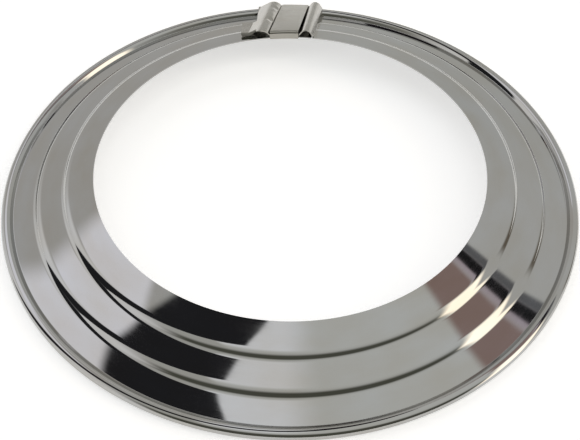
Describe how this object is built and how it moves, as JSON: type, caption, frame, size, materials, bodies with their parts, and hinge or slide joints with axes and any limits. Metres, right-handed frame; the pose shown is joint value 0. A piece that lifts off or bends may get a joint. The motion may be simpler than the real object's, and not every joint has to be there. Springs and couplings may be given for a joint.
{
  "type": "pipe rosette",
  "caption": "Stepped cover ring of bright sheet steel that closes the gap round a flue pipe at a wall, with a curled outer bead and a ribbed lap held by a folded band.",
  "frame": {"origin": "centre of the hole, in the plane of the wall that the bead rests on", "axes": "+Z along the pipe, away from the wall; +Y towards the lap"},
  "size_m": [0.18, 0.1805, 0.0144],
  "materials": {
    "ring": "bright rolled",
    "band": "dull"
  },
  "bodies": {
    "root": {"ring": "ring", "band": "band"}
  },
  "joints": []
}
